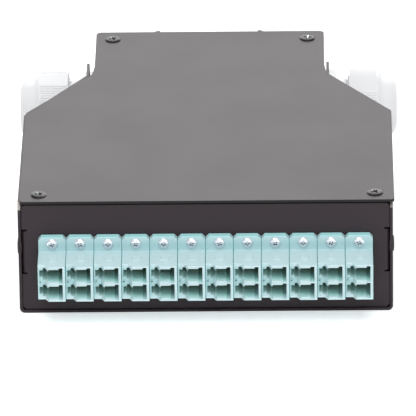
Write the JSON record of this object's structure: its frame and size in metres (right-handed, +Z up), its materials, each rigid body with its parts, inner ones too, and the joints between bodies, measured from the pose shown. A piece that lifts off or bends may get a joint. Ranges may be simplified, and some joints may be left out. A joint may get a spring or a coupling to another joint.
{
  "type": "DIN rail fibre box",
  "caption": "Low folded-steel fibre termination box with a bottle-shaped plan, a row of duplex adapters in front, side cable glands on the neck and a sprung rail clip behind.",
  "frame": {"origin": "underside of the tray, middle of its width, 74 mm behind its front edge", "axes": "+Z up, -Y out of the front panel, +X to the right seen from the front"},
  "size_m": [0.1368, 0.1727, 0.0435],
  "materials": {
    "black_paint": "fine matt powder coat on folded steel",
    "aqua_plastic": "moulded, slightly shiny",
    "zirconia": "polished ceramic",
    "plated_screw": "bright zinc plate",
    "black_screw": "black zinc",
    "zinc_steel": "zinc plated",
    "spring_steel": "drawn wire",
    "seal_rubber": "matt",
    "pale_nylon": "moulded nylon",
    "black_nylon": "moulded nylon",
    "clear_plastic": "clear sheet",
    "grey_plastic": "moulded"
  },
  "bodies": {
    "box": {"adapter_01": "aqua_plastic", "adapter_02": "aqua_plastic", "adapter_03": "aqua_plastic", "adapter_04": "aqua_plastic", "adapter_05": "aqua_plastic", "adapter_06": "aqua_plastic", "adapter_07": "aqua_plastic", "adapter_08": "aqua_plastic", "adapter_09": "aqua_plastic", "adapter_10": "aqua_plastic", "adapter_11": "aqua_plastic", "adapter_12": "aqua_plastic", "adapter_screws": "plated_screw", "base_tray": "black_paint", "cassette_cover": "clear_plastic", "cassette_posts": "zinc_steel", "cassette_screws": "zinc_steel", "din_clip": "black_nylon", "din_clip_nuts": "zinc_steel", "din_clip_screws": "zinc_steel", "front_panel": "black_paint", "latch_spring": "spring_steel", "left_gland_body": "pale_nylon", "left_gland_gasket": "seal_rubber", "left_gland_locknut": "pale_nylon", "lid": "black_paint", "lid_screws": "black_screw", "panel_nuts": "zinc_steel", "panel_screws": "black_screw", "right_gland_body": "pale_nylon", "right_gland_gasket": "seal_rubber", "right_gland_locknut": "pale_nylon", "sleeves_01": "zirconia", "sleeves_02": "zirconia", "sleeves_03": "zirconia", "sleeves_04": "zirconia", "sleeves_05": "zirconia", "sleeves_06": "zirconia", "sleeves_07": "zirconia", "sleeves_08": "zirconia", "sleeves_09": "zirconia", "sleeves_10": "zirconia", "sleeves_11": "zirconia", "sleeves_12": "zirconia", "splice_cassette": "grey_plastic", "splice_comb_left": "grey_plastic", "splice_comb_right": "grey_plastic"},
    "left_seal": {"left_gland_seal": "seal_rubber"},
    "left_cap": {"left_gland_cap": "pale_nylon"},
    "right_seal": {"right_gland_seal": "seal_rubber"},
    "right_cap": {"right_gland_cap": "pale_nylon"},
    "latch": {"din_latch": "black_nylon"}
  },
  "joints": [
    {"name": "latch_slide", "type": "slide", "parent": "box", "child": "latch", "axis": [-1, 0, 0], "range_m": [0, 0.004], "stiffness_N_per_m": 1500, "springref_m": -0.003, "deforming": ["latch_spring"]},
    {"name": "left_cap_advance", "type": "slide", "parent": "box", "child": "left_seal", "axis": [-1, 0, 0], "range_m": [0, 0.003]},
    {"name": "left_cap_turn", "type": "hinge", "parent": "left_seal", "child": "left_cap", "pos_m": [-0.06, 0.055, 0.02085], "axis": [-1, 0, 0], "range_deg": [0, 720]},
    {"name": "right_cap_advance", "type": "slide", "parent": "box", "child": "right_seal", "axis": [1, 0, 0], "range_m": [0, 0.003]},
    {"name": "right_cap_turn", "type": "hinge", "parent": "right_seal", "child": "right_cap", "pos_m": [0.06, 0.055, 0.02085], "axis": [1, 0, 0], "range_deg": [0, 720]}
  ],
  "couplings": [
    {"joint": "left_cap_turn", "follows": "left_cap_advance", "rad_per_m": 4188.7},
    {"joint": "right_cap_turn", "follows": "right_cap_advance", "rad_per_m": 4188.7}
  ]
}
